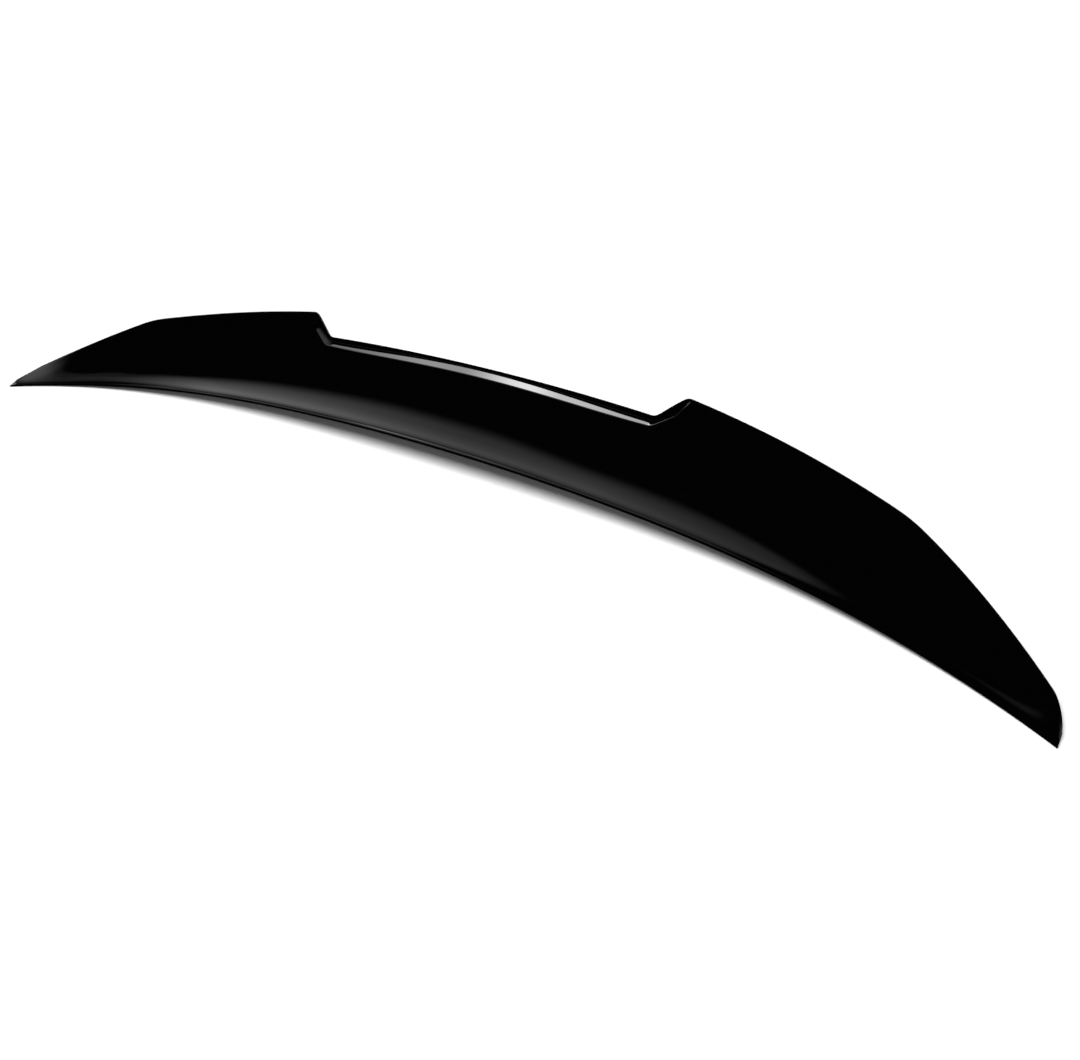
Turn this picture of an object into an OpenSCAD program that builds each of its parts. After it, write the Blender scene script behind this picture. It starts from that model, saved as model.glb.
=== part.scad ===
// Boot lid spoiler for a saloon: one thin moulded shell, open underneath.
// X runs across the car, Y from the leading edge to the rear, Z up. It stands on its tips and its foot.

/* [Overall] */
// Width from tip to tip
width = 1240; // [1000:5:1400]
// How far the middle of the leading edge lies behind the tips
bow = 92; // [40:1:130]
// How far the middle of the leading edge lies above the tips
crown = 23; // [8:0.5:40]
// Wall thickness of the moulding
wall = 3; // [2:0.1:4]

/* [Wings] */
// Depth from the leading edge to the trailing edge at the middle, as if there were no notch
mid_chord = 116.6; // [95:0.2:145]
// Rise from the leading edge to the trailing edge at the middle, as if there were no notch
mid_rise = 73.6; // [58:0.2:92]
// Depth at the outer corners
corner_chord = 80.7; // [60:0.1:92]
// Rise at the outer corners
corner_rise = 53.6; // [40:0.1:58]
// Distance from a tip in to its outer corner
corner_from_tip = 149.5; // [120:0.5:200]
// Softness of the outer corner, as a height
corner_soft = 0.8; // [0.4:0.1:4]
// Part of the depth at which the ramp starts to climb
ramp_turn = 0.36; // [0.2:0.01:0.5]

/* [Tips] */
// Length of the rounded end of each tip
tip_round = 14; // [8:0.5:22]
// Depth of the tip where its rounded end starts
tip_chord = 37.8; // [30:0.1:50]
// Rise of the tip where its rounded end starts
tip_rise = 10.7; // [8:0.1:16]
// Length of each tip that is moulded solid
tip_solid = 20; // [15:0.5:30]

/* [Notch] */
// Half the width of the notch along its floor
notch_half = 211.4; // [150:0.5:260]
// Half the width of the notch at its top, more than at its floor
notch_flare = 27.7; // [15:0.1:45]
// Depth from the leading edge to the notch's rear edge at the middle
notch_chord = 97.6; // [85:0.1:108]
// Depth from the leading edge to the notch's rear edge at its ends
notch_end_chord = 93.4; // [80:0.1:104]
// Rise of the notch's rear edge at the middle
notch_rise = 43.9; // [32:0.1:54]
// Rise of the notch's rear edge at its ends
notch_end_rise = 46.2; // [34:0.1:56]
// Width of the shelf in front of the notch's rear edge, at the middle
shelf = 15.8; // [10:0.1:24]
// Width of the shelf at the notch's ends and along its walls
shelf_end = 11.4; // [7:0.1:18]
// Length over which the shelf fades out at the top of each wall
shelf_fade = 12; // [6:0.5:24]
// Height of the small lip that ends the shelf, at the middle
lip = 4.2; // [2:0.1:6]
// Height of the lip at the notch's ends
lip_end = 5; // [2:0.1:7]

/* [Rear and foot] */
// Angle of the rear face from upright
rear_lean = 32; // [22:0.5:38]
// Hollow of the rear face
rear_hollow = 3; // [0:0.1:6]
// Radius of the rounded trailing edge
rim = 1.8; // [1:0.1:2.5]
// Width of the flange that turns in under the rear
flange = 20; // [16:0.5:26]
// Width of the shallow bonding channel in the flange
channel = 12; // [8:0.5:13]
// Depth of the bonding channel
channel_depth = 0.8; // [0.4:0.1:1.5]

/* [Ribs] */
// Number of ribs on each side of the middle
rib_count = 4; // [1:1:4]
// Distance between ribs
rib_pitch = 108; // [80:1:120]
// Thickness of a rib
rib_wall = 2.2; // [1.5:0.1:3]
// Depth of a rib below the inside of the ramp
rib_depth = 24; // [12:0.5:32]

/* [Hidden] */
half = width / 2;
corner_x = half - corner_from_tip;
round_x = half - tip_round;
sweep = round_x - corner_x;
notch_top = notch_half + notch_flare;
lean = tan(rear_lean);
// Shares of the fourth power in the even curves, set by eye for a fair line
BOW_SHARE = 0.7;
CROWN_SHARE = -0.86;
CHORD_SHARE = 0.35;
RISE_SHARE = -0.41;
// Bulge of the swept edge between the corner and the tip
SWEEP_CHORD_BULGE = 2.9;
SWEEP_RISE_BULGE = 1.8;
// How far the foot of the ramp dips, as a share of its rise
RAMP_DIP = 0.05;
// Exponent of the tip's outline in plan
TIP_POWER = 2;
// Softness of the notch's corners, as a share of its wall
NOTCH_SOFT = 0.04;
// Depth of the strip along a wing's trailing edge that takes the place of the shelf
EDGE_STRIP = 2;
// Where that strip turns: shares of its depth and of its height, from the trailing edge
EDGE_TURN = [0.22, 0.34];
// Depth of the lip, as a share of its height
LIP_DEPTH = 0.45;
// How sharply the shelf turns up into the lip: 1 is a plain curve, more hugs the corner
LIP_WEIGHT = 5;
// Softness between a flat shelf and a shelf that sinks to the full height of its lip
LEDGE_SOFT = 0.15;
// Least fall of the shelf towards its lip, as a share of its width
LEDGE_FALL = 0.1;
// How far before the crease the hollow ends, as a share of the ramp
ROOF_BACK = 0.009;
// Depth and rise of the section at the very tip
TIP_END = [7, 4];
// Length over which the depth blends at the outer corner
CORNER_BLEND = 20;
// Height of the leading edge below which the ramp no longer dips
DIP_FADE = 3;
// Height of the wing below which the foot stands right under the trailing edge
LEAN_FADE = 9;
// Length of rear face over which its hollow comes in
HOLLOW_FADE = 40;
// Width of the land under the nose
NOSE_LAND = 1.6;
// Width left between the insides of the ramp and the rear face where they meet
MEETING_GAP = 0.8;
// Length over which the hollow fills up before a solid tip
FILL_LENGTH = 12;
// Draft of a rib, on each side
RIB_DRAFT = 0.7;
RAMP_STEPS = 11;
SHELF_STEPS = 4;
REAR_STEPS = 3;
INNER_STEPS = 8;

function mix(a, b, t) = a * (1 - t) + b * t;
function clamp(v, lo, hi) = min(max(v, lo), hi);
// Even curve from 0 at the middle to 1 at t = 1, with a share of the fourth power
function ease(t, share) = (1 - share) * t ^ 2 + share * t ^ 4;
// The smaller and the larger of two values, rounded where they cross
function soft_min(a, b, r) = min(a, b) - max(4 * r - abs(a - b), 0) ^ 2 / (16 * r);
function soft_max(a, b, r) = max(a, b) + max(4 * r - abs(a - b), 0) ^ 2 / (16 * r);
function smooth(t) = let (c = clamp(t, 0, 1)) c * c * (3 - 2 * c);
// Curve through a list of three points: it starts at the first, heads for the second and ends at the third
function bend(c, t) = c[0] * (1 - t) ^ 2 + c[1] * (2 * t * (1 - t)) + c[2] * t ^ 2;
// The same curve drawn towards its second point by a weight
function tight_bend(c, t, w) =
    let (a = (1 - t) ^ 2, b = 2 * w * t * (1 - t), e = t ^ 2)
    (c[0] * a + c[1] * b + c[2] * e) / (a + b + e);
// The curve bend moved to its right by a distance
function bend_beside(c, t, d) =
    let (w = (c[1] - c[0]) * (1 - t) + (c[2] - c[1]) * t)
    bend(c, t) + d * [w.y, -w.x] / norm(w);

// Leading edge: its place along Y and Z for a station x
function lead(x) =
    let (u = abs(x) / half)
    [bow * (1 - ease(u, BOW_SHARE)), crown * (1 - ease(u, CROWN_SHARE))];

// A size of the section, shrunk to an end size inside the rounded end of the tip
function tipped(size, end, x) =
    let (t = clamp((abs(x) - round_x) / tip_round, 0, 1))
    mix(end, size, (1 - t ^ TIP_POWER) ^ (1 / TIP_POWER));

// Depth and rise of the wing's trailing edge, as if there were no notch
function wing_chord(x) =
    let (q = abs(x) / corner_x, s = (abs(x) - corner_x) / sweep)
    let (inner = mid_chord - (mid_chord - corner_chord) * ease(q, CHORD_SHARE))
    let (outer = mix(corner_chord, tip_chord, s) + SWEEP_CHORD_BULGE * 4 * s * (1 - s))
    tipped(mix(inner, outer, smooth((abs(x) - corner_x) / CORNER_BLEND + 0.5)), TIP_END.x, x);
function wing_rise(x) =
    let (q = abs(x) / corner_x, s = (abs(x) - corner_x) / sweep)
    let (inner = mid_rise - (mid_rise - corner_rise) * ease(q, RISE_SHARE))
    let (outer = mix(corner_rise, tip_rise, s) + SWEEP_RISE_BULGE * 4 * s * (1 - s))
    tipped(soft_min(inner, outer, corner_soft), TIP_END.y, x);

// 0 on the notch floor, 1 on the wings, rounded at the foot and head of the notch wall
function notch_mix(x, from, to) =
    let (t = (abs(x) - from) / (to - from))
    soft_min(1, soft_max(0, t, NOTCH_SOFT), NOTCH_SOFT);
// Trailing edge for a station, from its leading edge and the wing's size there
function edge(x, l, wing) =
    let (q2 = (abs(x) / notch_half) ^ 2, m = notch_mix(x, notch_half, notch_top))
    let (floor_size = [mix(notch_chord, notch_end_chord, q2), mix(notch_rise, notch_end_rise, q2)])
    l + mix(floor_size, wing, m);

// Bisection along a curve for the place where it reaches y = level
function find_y(c, level, lo, hi, n = 12) =
    n == 0 ? lo :
    let (t = (lo + hi) / 2)
    bend(c, t).x < level ? find_y(c, level, t, hi, n - 1) : find_y(c, level, lo, t, n - 1);
// Place along Y of the inside of the rear face, for a height
function rear_inside(r, z, s) = bend(r, clamp(z / r[2].y, 0, 1)).x - s / cos(rear_lean);
// Bisection along the inside of the ramp for the place where it meets the inside of the rear
function find_meeting(c, r, s, lo, hi, n = 12) =
    n == 0 ? lo :
    let (t = (lo + hi) / 2, p = bend_beside(c, t, s))
    p.x < rear_inside(r, p.y, s) - MEETING_GAP ? find_meeting(c, r, s, t, hi, n - 1) :
        find_meeting(c, r, s, lo, t, n - 1);
// Bisection along the inside of the ramp for a height
function find_height(c, level, s, lo, hi, n = 12) =
    n == 0 ? lo :
    let (t = (lo + hi) / 2)
    bend_beside(c, t, s).y < level ? find_height(c, level, s, t, hi, n - 1) :
        find_height(c, level, s, lo, t, n - 1);

// How far the hollow is filled near the tips: 0 is open, 1 is solid
function fill(x) = clamp((abs(x) - half + tip_solid) / FILL_LENGTH + 1, 0, 1);
// 0 away from the ribs, 1 inside one
function rib(x) =
    let (i = clamp(round(abs(x) / rib_pitch + 0.5), 1, rib_count))
    clamp(1 - (abs(abs(x) - (i - 0.5) * rib_pitch) - rib_wall / 2) / RIB_DRAFT, 0, 1);

// Inside of the hollow: from the flange up the rear face, along its roof, which may fall, and down the ramp
function hollow_points(c, r, s, base, top, fall) =
    let (q = bend_beside(c, top, s), high = q.y - 0.3 - fall, low = s + 0.3)
    concat(
        [base + [0, s]],
        [for (i = [0:REAR_STEPS]) let (z = mix(low, high, i / REAR_STEPS)) [rear_inside(r, z, s), z]],
        [[mix(rear_inside(r, high, s), q.x, 0.5), q.y - 0.1 - fall / 2]],
        [for (i = [0:INNER_STEPS]) bend_beside(c, mix(top, 0.02, i / INNER_STEPS), s)]
    );
function inside_points(x, end, c, r, s, base, top, fall) =
    let (open = hollow_points(c, r, s, base, top, fall), n = len(open), b = rib(x), f = fill(x))
    let (level = max(bend_beside(c, top, s).y - rib_depth, 4))
    let (cut = b > 0 ? hollow_points(c, r, s, base, find_height(c, level, s, 0.05, top), 0) : open)
    let (flat = [for (i = [1:n]) mix(base, end, i / (n + 1))])
    mix(mix(open, cut, b), flat, f);

// The flange with its bonding channel, from the foot towards the front
function flange_points(y, w, depth) =
    let (g = channel * w / flange, a = (w - g) / 2, d = min(0.4, g / 8))
    [[y - a, 0], [y - a - d, depth], [y - a - g + d, depth], [y - a - g, 0], [y - w, 0]];

// Outline of the moulding at a station, as places along Y and Z
function section(x) =
    let (l = lead(x), wing = [wing_chord(x), wing_rise(x)], s = min(wall, 0.4 * wing.y))
    let (a = l + [1, s], e0 = l + wing, soft = smooth(l.y / DIP_FADE))
    let (c = [a, [mix(a.x, e0.x, ramp_turn), a.y - RAMP_DIP * (e0.y - a.y) * soft], e0])
    let (e = edge(x, l, wing))
    let (in_notch = 1 - notch_mix(x, notch_top - shelf_fade / 2, notch_top + shelf_fade / 2))
    let (q = min(abs(x) / notch_half, 1), ledge = mix(shelf, shelf_end, q ^ 4), rise = mix(lip, lip_end, q ^ 2))
    let (full = 1 - EDGE_STRIP / (wing.x + 10))
    let (k = in_notch == 0 ? full : mix(full, find_y(c, e.x - ledge, 0.3, full), in_notch), kp = bend(c, k))
    let (strip = [mix(e.x, kp.x, EDGE_TURN.x), mix(e.y, kp.y, EDGE_TURN.y)])
    let (low = soft_min(e.y - rise, kp.y - LEDGE_FALL * ledge, LEDGE_SOFT))
    let (root = [e.x - LIP_DEPTH * rise - lean * (e.y - rise - low), low])
    let (turn = mix(strip, root, in_notch), fall = max(kp.y - turn.y, 0))
    let (r1 = min(rim, 0.5 * s), foot = [e0.x - lean * e0.y * smooth(wing.y / LEAN_FADE), 0])
    let (top = e + r1 * [1.1, -1.1], d = top - foot)
    let (sag = rear_hollow * smooth(norm(d) / HOLLOW_FADE - 0.3))
    let (r = [foot, (foot + top) / 2 + sag * [-d.y, d.x] / norm(d), top])
    let (reach = foot.x - l.x, w = min(flange, 0.4 * reach), base = foot - [w, 0])
    let (inset = min(NOSE_LAND, 0.2 * reach))
    let (high = min(k - ROOF_BACK, find_meeting(c, r, s, 0.05, k)))
    concat(
        [l + [inset, 0], l + [0.4, 0.15 * s], l + [0, 0.45 * s], l + [0.3, 0.8 * s]],
        [for (i = [0:RAMP_STEPS]) bend(c, k * i / RAMP_STEPS)],
        [for (i = [1:SHELF_STEPS]) tight_bend([kp, turn, e], i / SHELF_STEPS, LIP_WEIGHT)],
        [e + r1 * [0.75, -0.2]],
        [for (i = [REAR_STEPS:-1:0]) bend(r, mix(0.06, 1, i / REAR_STEPS))],
        [foot - [0.25 * inset, 0]],
        flange_points(foot.x, w, channel_depth * (1 - fill(x))),
        inside_points(x, l + [inset, 0], c, r, s, base, high, fall)
    );

// Stations across the width, closer where the outline turns
function spread(a, b, n) = [for (i = [0:n - 1]) mix(a, b, i / n)];
function sorted(v) =
    len(v) < 2 ? v :
    let (p = v[floor(len(v) / 2)])
    concat(sorted([for (e = v) if (e < p) e]), [p], sorted([for (e = v) if (e > p) e]));
rib_edges = [for (i = [1:rib_count]) for (side = [-1, 1]) for (d = [0, RIB_DRAFT])
    (i - 0.5) * rib_pitch + side * (rib_wall / 2 + d)];
open_stations = concat(
    spread(20, notch_half - 10, 6),
    spread(notch_half - 10, notch_top + shelf_fade / 2 + 4, 14),
    spread(notch_top + shelf_fade / 2 + 4, corner_x - 30, 6),
    spread(corner_x - 30, corner_x + 30, 6),
    spread(corner_x + 30, half - tip_solid - 14, 5),
    spread(half - tip_solid - 14, round_x, 3),
    [for (i = [0:7]) round_x + tip_round * sin(i * 90 / 7)]
);
far_stations = [for (x = open_stations) if (min([for (e = rib_edges) abs(x - e)]) > 1.5) x];
half_stations = sorted(concat(far_stations, rib_edges));
stations = concat([for (i = [len(half_stations) - 1:-1:0]) -half_stations[i]], [0], half_stations);

sections = [for (x = stations) section(x)];
ring = len(sections[0]);
y_low = min([for (s = sections) for (p = s) p.x]);
y_high = max([for (s = sections) for (p = s) p.x]);
z_low = min([for (s = sections) for (p = s) p.y]);

// A place of the section, moved so that the part stands on its base with its depth centred
function placed(x, p) = [x, p.x - (y_low + y_high) / 2, p.y - z_low];
function middle(outline) = [for (p = outline) 1 / len(outline)] * outline;

// One closed skin through all the sections, with a fan of faces at both tips
module spoiler_shell() {
    rings = [for (i = [0:len(stations) - 1]) for (p = sections[i]) placed(stations[i], p)];
    ends = [placed(-half, middle(sections[0])), placed(half, middle(sections[len(stations) - 1]))];
    sides = [for (i = [0:len(stations) - 2]) for (j = [0:ring - 1])
        let (a = i * ring + j, b = i * ring + (j + 1) % ring)
        each [[a, b, b + ring], [a, b + ring, a + ring]]];
    n = len(rings);
    left = [for (j = [0:ring - 1]) [n, (j + 1) % ring, j]];
    right = [for (j = [0:ring - 1]) [n + 1, n - ring + j, n - ring + (j + 1) % ring]];
    color("#111214")
    polyhedron(points = concat(rings, ends), faces = concat(sides, left, right), convexity = 8);
}

spoiler_shell();
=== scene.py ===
"""Gloss black boot lid spoiler, skinned over its CAD frame and shown on a white studio floor."""

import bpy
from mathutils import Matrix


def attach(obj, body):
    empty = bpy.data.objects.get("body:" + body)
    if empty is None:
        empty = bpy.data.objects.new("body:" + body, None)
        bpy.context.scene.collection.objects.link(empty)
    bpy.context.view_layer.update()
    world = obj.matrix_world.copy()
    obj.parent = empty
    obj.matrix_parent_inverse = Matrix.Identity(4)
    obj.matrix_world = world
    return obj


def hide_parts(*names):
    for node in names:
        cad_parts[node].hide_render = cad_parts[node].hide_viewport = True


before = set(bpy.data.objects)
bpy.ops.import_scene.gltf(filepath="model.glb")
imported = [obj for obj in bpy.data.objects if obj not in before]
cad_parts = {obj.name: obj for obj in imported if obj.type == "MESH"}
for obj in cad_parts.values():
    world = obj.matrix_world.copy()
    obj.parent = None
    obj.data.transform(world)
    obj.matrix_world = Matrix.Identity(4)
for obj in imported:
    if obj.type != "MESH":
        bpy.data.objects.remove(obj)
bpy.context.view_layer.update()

import math

import bpy
import numpy as np
from bpy.props import FloatProperty, FloatVectorProperty, IntProperty, PointerProperty
from mathutils import Matrix, Vector

bl_info = {
    "name": "Boot Lid Spoiler",
    "version": (1, 0, 0),
    "blender": (4, 5, 0),
    "location": "3D View > Sidebar > Spoiler",
    "description": "Builds a gloss black boot lid spoiler with its finish, floor, lights and camera",
    "category": "Object",
}

SHELL_NODE = "spoiler_shell"
MM = 0.001

# Shares of the fourth power in the even curves, as in the part
BOW_SHARE = 0.7
CROWN_SHARE = -0.86
CHORD_SHARE = 0.35
RISE_SHARE = -0.41
# Bulge of the swept edge between the corner and the tip
SWEEP_CHORD_BULGE = 2.9 * MM
SWEEP_RISE_BULGE = 1.8 * MM
# Length over which the two curves of the depth blend at the outer corner
CORNER_BLEND = 20 * MM
# How far the foot of the ramp dips, as a share of its rise, and the nose height over which that comes in
RAMP_DIP = 0.05
DIP_FADE = 3 * MM
# Power of the superellipse that rounds a tip, and the depth and rise left at its end
TIP_POWER = 2.0
TIP_END = (7 * MM, 4 * MM)
# Length of the cap that closes a tip, and how far its outline is drawn to its middle
TIP_CAP = 0.4 * MM
CAP_SHARE = 0.12
# Roundness at the foot and head of a notch wall, as a share of the wall's run
NOTCH_SOFT = 0.04
# The wall's largest share of the rise, the rim's of the wall, the flange's and the land's of the depth
WALL_SHARE = 0.4
RIM_SHARE = 0.5
FLANGE_SHARE = 0.4
LAND_SHARE = 0.2
# Depth of the rounded nose, radius of its lower edge, and width of the flat land under it
NOSE_DEPTH = 1 * MM
NOSE_ROUND = 0.4 * MM
NOSE_LAND = 1.6 * MM
# Narrow strip along the edge of a wing: its width, the depth added so that it narrows towards the tips, and
# where it turns on its way from the edge to the ramp, as shares along Y and Z
EDGE_STRIP = 2 * MM
STRIP_FADE = 10 * MM
EDGE_TURN = (0.22, 0.34)
# How far the lip's root lies in front of its edge, as a share of its height
LIP_DEPTH = 0.2
# Height of the lip that its rounded foot takes up
LIP_FOOT = 2.9 * MM
# How sharply the shelf turns up into the lip: 1 is a plain curve, more hugs the corner
LIP_WEIGHT = 60.0
# Least fall of the shelf towards its lip, as a share of its width, and how softly it takes over
LEDGE_FALL = 0.02
LEDGE_SOFT = 0.15 * MM
# Radius of the crease between ramp and shelf, the depth below which it shrinks, and its least share
CREASE_ROUND = 0.8 * MM
CREASE_FADE = 20 * MM
CREASE_LEAST = 0.05
# Largest share of a wing's strip that the crease takes, and the limits of what it takes of the shelf's curve
CREASE_ON_STRIP = 0.3
CREASE_ON_SHELF = (0.0002, 0.2)
# How far the rounded rim stays inside the part's edge. Its reach and its handles are shares of its radius
RIM_INSET = 0.15 * MM
RIM_REACH = 1.1
RIM_HANDLE = 0.45
# Rise of the wing over which the rear face takes up its lean
LEAN_FADE = 9 * MM
# Height of the rear face over which it takes up its hollow, and the share of that height where it starts
HOLLOW_FADE = 40 * MM
HOLLOW_START = 0.3
# Shares of the rear face and of the land's width that the rounded heel takes
HEEL_RISE = 0.05
HEEL_RUN = 0.25
# Run of the bonding channel's sloped sides
CHANNEL_SLOPE = 0.4 * MM
# Where the roof of the hollow stops before the crease, and where it ends by the nose, along the ramp's curve
ROOF_BACK = 0.009
ROOF_END = 0.02
# How far the rear inside keeps from the flange and the roof, and how far the roof's ridge hangs down
INSIDE_GAP = 0.3 * MM
RIDGE_GAP = 0.1 * MM
# Gap left where the inside of the ramp would meet the inside of the rear face
MEETING_GAP = 0.8 * MM
# Length over which the hollow fills up into a solid tip
FILL_LENGTH = 12 * MM
# Run of the draft on each side of a rib, and the least height of a rib's lower edge
RIB_DRAFT = 0.7 * MM
RIB_LEAST = 4 * MM
# Closer stations at the notch walls and the outer corners: their share of the spacing and how far they reach
NOTCH_SPACING = 0.4
NOTCH_REACH = (12 * MM, 6 * MM)
CORNER_SPACING = 0.5
CORNER_REACH = 20 * MM
# Stations round a tip, and the least distance from a station to the side of a rib
TIP_STATIONS = 22
STATION_GAP = 0.4 * MM
# Steps of each bisection, and where along the ramp's curve it starts for the crease and for the inside
HALVINGS = 26
CREASE_FROM = 0.3
INSIDE_FROM = 0.05
# Places along each stretch of the outline
DEPTH_STEPS = {"nose": 8, "ramp": 44, "shelf": 15, "rim": 9, "rear": 10, "round": 5, "back": 8, "inside": 15}
# Keeps a length that is divided by from being 0
TINY = 1e-6
# Distance that the bump works over, the lacquer's refraction index, and its greatest roughness over its least
BUMP_DISTANCE = 0.2 * MM
LACQUER_IOR = 1.5
HAZE_RANGE = 1.4
# How much finer the flow marks of the raw plastic are along X, Y and Z
FLOW_STRETCH = (4.0, 60.0, 60.0)
# Angle between faces from which their edge is shaded sharp
SHARP_ANGLE = math.radians(32)
# Gap that keeps the floor clear of the part, the floor's colour, and where its own glow takes over: distances
# from the middle, after a stretch along X, Y and Z
FLOOR_DROP = 0.2 * MM
FLOOR_COLOUR = (0.9, 0.9, 0.9, 1)
FLOOR_STRETCH = (0.6, 1.0, 0.0)
FLOOR_FADE = (0.4, 0.7)
# Rows and columns of the tent's mesh
TENT_STEPS = (48, 96)
# Place and side of the lamp overhead
LAMP_PLACE = (0.0, -0.6, 2.1)
LAMP_SIZE = 1.7
# The camera's axes to the right and down in the picture, and the nearest and furthest thing it sees
CAMERA_RIGHT = (0.83891, 0.536, -0.09451)
CAMERA_DOWN = (0.27147, -0.56258, -0.7809)
CAMERA_CLIP = (0.05, 60)
WHITE = (1, 1, 1, 1)


def mix(a, b, t):
    """Straight blend: a at t = 0, b at t = 1."""
    return a * (1 - t) + b * t


def smooth(t):
    """3t^2 - 2t^3, held at 0 and 1 outside."""
    t = np.clip(t, 0.0, 1.0)
    return t * t * (3 - 2 * t)


def ease(t, share):
    """Even curve from 0 at the middle to 1 at t = 1, with a share of the fourth power."""
    return (1 - share) * t ** 2 + share * t ** 4


def soft_min(a, b, r):
    """The smaller of two values, rounded over 4r where they cross."""
    return np.minimum(a, b) - np.maximum(4 * r - np.abs(a - b), 0) ** 2 / (16 * r)


def soft_max(a, b, r):
    """The larger of two values, rounded over 4r where they cross."""
    return np.maximum(a, b) + np.maximum(4 * r - np.abs(a - b), 0) ** 2 / (16 * r)


def pair(y, z):
    """Places along Y and Z, one row a station."""
    return np.stack(np.broadcast_arrays(y, z), axis=-1)


def bend(c, t):
    """Quadratic curve from c[0] towards c[1], ending at c[2]. Rows are stations, columns are t."""
    t = t[..., None]
    return c[0][:, None] * (1 - t) ** 2 + c[1][:, None] * (2 * t * (1 - t)) + c[2][:, None] * t ** 2


def heading(c, t):
    """Unit direction of travel along bend(c, t)."""
    t = t[..., None]
    w = (c[1] - c[0])[:, None] * (1 - t) + (c[2] - c[1])[:, None] * t
    return w / np.linalg.norm(w, axis=-1, keepdims=True)


def bend_beside(c, t, d):
    """bend(c, t) moved to its right by the distance d, one a station."""
    w = heading(c, t)
    return bend(c, t) + d[:, None, None] * np.stack([w[..., 1], -w[..., 0]], axis=-1)


def tight_bend(c, t, weight):
    """The same curve drawn towards its corner c[1], which has the given weight."""
    t = t[..., None]
    a, b, e = (1 - t) ** 2, 2 * weight * t * (1 - t), t ** 2
    return (c[0][:, None] * a + c[1][:, None] * b + c[2][:, None] * e) / (a + b + e)


def gathered(n):
    """n steps from 0 to 1 that gather at both ends: t^3 / (t^3 + (1 - t)^3)."""
    t = np.linspace(0, 1, n)[None]
    return t ** 3 / (t ** 3 + (1 - t) ** 3)


def halve(below, low, high):
    """Bisection for a whole column of stations: below(t) says where t is still too small."""
    for _ in range(HALVINGS):
        t = (low + high) / 2
        small = below(t)
        low, high = np.where(small, t, low), np.where(small, high, t)
    return low


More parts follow.
